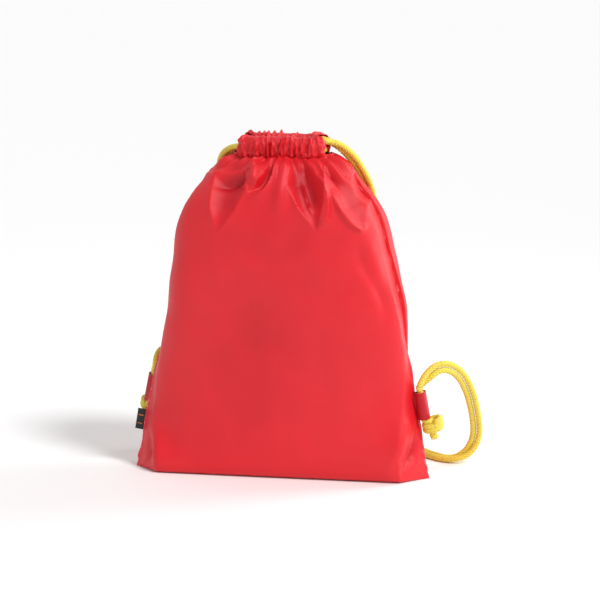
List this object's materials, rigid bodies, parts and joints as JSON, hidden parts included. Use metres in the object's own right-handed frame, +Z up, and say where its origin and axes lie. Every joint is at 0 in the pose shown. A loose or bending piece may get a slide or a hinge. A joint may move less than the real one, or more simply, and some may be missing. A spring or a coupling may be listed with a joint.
{
  "type": "drawstring sack",
  "caption": "Flat nylon drawstring sack with its mouth gathered shut by two braided cords that tie into cloth loops at the lower corners.",
  "frame": {"origin": "on the floor under the middle of the bag", "axes": "+Z up, -Y the front of the bag, +X its right as seen from the front"},
  "size_m": [0.3934, 0.2139, 0.3913],
  "materials": {
    "nylon": "plain-woven coated nylon with a soft satin sheen",
    "thread": "matt sewing thread and overlocked edges",
    "cord": "soft braided polyester cord",
    "label": "tightly woven black ribbon"
  },
  "bodies": {
    "bag": {"front_panel": "nylon", "back_panel": "nylon", "front_casing": "nylon", "back_casing": "nylon", "left_side_seam": "thread", "right_side_seam": "thread", "bottom_seam": "thread", "front_casing_stitching": "thread", "back_casing_stitching": "thread", "right_cord_mouth": "cord", "left_cord_mouth": "cord", "right_cord_front_strand": "cord", "right_cord_back_strand": "cord", "left_cord_front_strand": "cord", "left_cord_back_strand": "cord"},
    "right_tab": {"right_loop_tab": "nylon", "right_loop_strand_a": "cord", "right_loop_strand_b": "cord"},
    "right_cord_end": {"right_cord_end_a": "cord", "right_cord_end_b": "cord", "right_cord_tail_a": "cord", "right_cord_tail_b": "cord", "right_knot": "cord"},
    "left_tab": {"left_loop_tab": "nylon", "left_loop_strand_a": "cord", "left_loop_strand_b": "cord"},
    "left_cord_end": {"left_cord_end_a": "cord", "left_cord_end_b": "cord", "left_cord_tail_a": "cord", "left_cord_tail_b": "cord", "left_knot": "cord"},
    "label": {"side_label": "label"}
  },
  "joints": [
    {"name": "right_tab_swing", "type": "hinge", "parent": "bag", "child": "right_tab", "pos_m": [0.15351, 0, 0.083], "axis": [-0.178, 0, 0.984], "range_deg": [-45, 45]},
    {"name": "right_knot_slide", "type": "slide", "parent": "right_tab", "child": "right_cord_end", "axis": [0.178, 0, -0.984], "range_m": [0, 0.012]},
    {"name": "left_tab_swing", "type": "hinge", "parent": "bag", "child": "left_tab", "pos_m": [-0.15132, 0, 0.0905], "axis": [0.2, 0, 0.9798], "range_deg": [0, 30]},
    {"name": "left_knot_slide", "type": "slide", "parent": "left_tab", "child": "left_cord_end", "axis": [-0.2, 0, -0.9798], "range_m": [0, 0.012]},
    {"name": "label_swing", "type": "hinge", "parent": "bag", "child": "label", "pos_m": [-0.15939, 0, 0.0545], "axis": [0.1642, 0, 0.9864], "range_deg": [-10, 70]}
  ]
}
